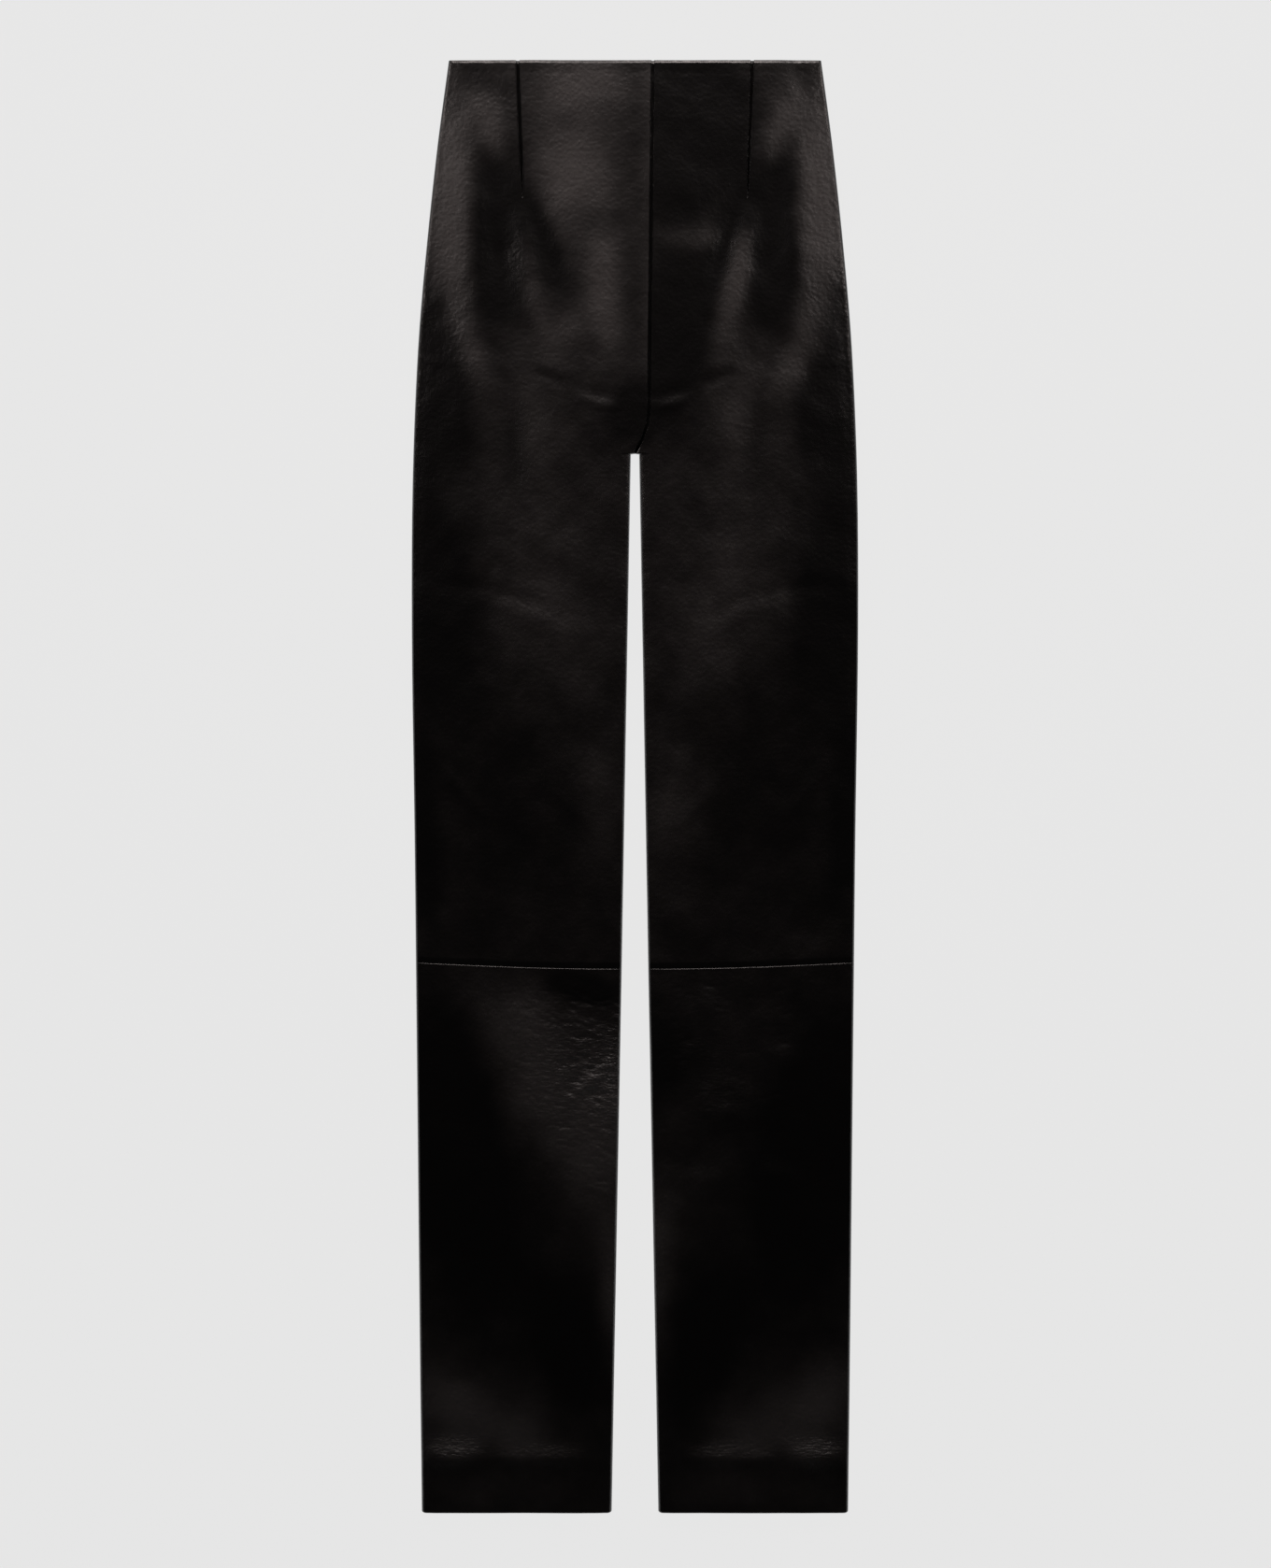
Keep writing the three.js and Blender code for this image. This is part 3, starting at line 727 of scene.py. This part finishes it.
# How far apart the mesh's rows are, and the closer rows at its edges and at the darts' ends
ROWS = {"thigh": 2 * MM, "shin": 1 * MM}
WAIST_ROWS = WAIST_Y - np.array([0, 0.4, 0.9, 1.5, 2.3]) * MM
DART_END_ROWS = DART_END + np.array([0.1, -0.1]) * MM
OVER_KNEE = np.array([5, 4, 3, 2.2, 1.5, 1, 0.6, 0.3, 0]) * MM
UNDER_KNEE = np.array([0, 0.15, 0.3, 0.5, 0.8, 1.3, 2, 3, 4.2, 5.2]) * MM
for leg_name in LEGS:
    leg = legs["front", leg_name]
    for part in ("thigh", "shin"):
        node = f"front_{part}_{leg_name}"
        grids = []
        for face, depth in (("outer", 0.0), ("inner", WALL)):
            if part == "thigh":
                ys = np.concatenate([
                    WAIST_ROWS,
                    rows_between(WAIST_Y - 3 * MM, DART_END + 1 * MM, ROWS[part]),
                    DART_END_ROWS,
                    rows_between(DART_END - 1 * MM, CROTCH_Y + 1 * MM, ROWS[part]),
                    CROTCH_ROWS,
                    rows_between(CROTCH_Y - UNDER_CROTCH, leg.knee_side + 6 * MM, ROWS[part]),
                    leg.knee_side + OVER_KNEE])
                inset = ys * 0 + depth
            else:
                down = np.concatenate([
                    leg.knee_side - UNDER_KNEE,
                    rows_between(leg.knee_side - 6.5 * MM, HEM_Y + HEM_START, ROWS[part])])
                hem_y, hem_inset, _ = hem_stations(HEM_RADII[face])
                ys = np.concatenate([down, hem_y])
                inset = np.concatenate([down * 0 + depth, hem_inset])
            grids.append(front_grid(leg, ys, inset))
        piece = shell(f"{node}_leather", grids[0], grids[1], leg.side)
        for name, value_at in (("painted_shading", painted_shading_at), ("crinkle", crinkle_at)):
            values = [value_at(leg, grid[..., 0], grid[..., 1]).ravel() for grid in grids]
            add_attribute(piece, name, np.concatenate(values))
        piece.data.materials.append(front_leather)
        declare(piece, node)


# --- Table -------------------------------------------------------------------------------------
# Opal acrylic: a cast sheet with a fine white filler, sanded matt. It spreads the light from under
# it so evenly that it glows in one plain pale tone. A wall of the same stands far off all round,
# so that the ground behind the leather is the same from every side.
TABLE_LIGHT, TABLE_GREY = "#e5e5e5", "#2a2a2a"
ACRYLIC_ROUGHNESS, ACRYLIC_SPECULAR = 0.9, 0.1
TABLE_RADIUS, WALL_HEIGHT, TABLE_SIDES = 12.0, 5.0, 48
UNDER_LEATHER = 0.2 * MM

table_mesh = bpy.data.meshes.new("table")
turns = np.linspace(0, 2 * np.pi, TABLE_SIDES, endpoint=False)
ring = np.stack([TABLE_RADIUS * np.cos(turns), TABLE_RADIUS * np.sin(turns)], -1)
corners = [(x, y, -UNDER_LEATHER) for x, y in ring] + [(x, y, WALL_HEIGHT) for x, y in ring]
sides = [(k, k + TABLE_SIDES, (k + 1) % TABLE_SIDES + TABLE_SIDES, (k + 1) % TABLE_SIDES)
         for k in range(TABLE_SIDES)]
table_mesh.from_pydata(corners, [], [tuple(range(TABLE_SIDES)), *sides])
table = bpy.data.objects.new("table", table_mesh)
bpy.context.scene.collection.objects.link(table)
opal_acrylic = bpy.data.materials.new("opal_acrylic")
opal_acrylic.use_nodes = True
table_tree = opal_acrylic.node_tree
table_tree.nodes.clear()
acrylic = add_node(table_tree, "ShaderNodeBsdfPrincipled", {
    "Base Color": linear(TABLE_GREY), "Roughness": ACRYLIC_ROUGHNESS, "Specular IOR Level": ACRYLIC_SPECULAR,
    "Emission Color": linear(TABLE_LIGHT), "Emission Strength": 1.0})
add_node(table_tree, "ShaderNodeOutputMaterial", {"Surface": acrylic.outputs["BSDF"]})
table_mesh.materials.append(opal_acrylic)


# --- Lights ------------------------------------------------------------------------------------
# A softbox past the waist, a low strip outside each hip that lights its own half, and very little
# light from all round. The lamps are a little warm.
LAMP_WARM = "#fff2ee"
ROOM_LIGHT, ROOM_STRENGTH = "#ffffff", 0.01


def softbox(name, place, aim, size, power, spread):
    data = bpy.data.lights.new(name, "AREA")
    data.shape = "RECTANGLE"
    data.size, data.size_y = size
    data.energy = power
    data.color = linear(LAMP_WARM)[:3]
    data.spread = np.radians(spread)
    lamp = bpy.data.objects.new(name, data)
    lamp.location = place
    lamp.rotation_euler = (Vector(aim) - Vector(place)).to_track_quat("-Z", "Y").to_euler()
    lamp.visible_camera = False
    bpy.context.scene.collection.objects.link(lamp)


softbox("softbox_waist", place=(0, WAIST_Y + 1.84, 1.4), aim=(0, WAIST_Y - 0.16, 0),
        size=(1.3, 0.8), power=4.2, spread=50)
for side in LEGS.values():
    softbox(f"strip_{side}", place=(0.8 * side, WAIST_Y + 0.19, 0.75), aim=(0.14 * side, WAIST_Y - 0.1, 0),
            size=(0.25, 0.4), power=0.4, spread=60)

world = bpy.data.worlds.new("studio")
world.use_nodes = True
background = world.node_tree.nodes["Background"]
background.inputs["Color"].default_value = linear(ROOM_LIGHT)
background.inputs["Strength"].default_value = ROOM_STRENGTH
bpy.context.scene.world = world
bpy.context.scene.view_settings.view_transform = "Standard"
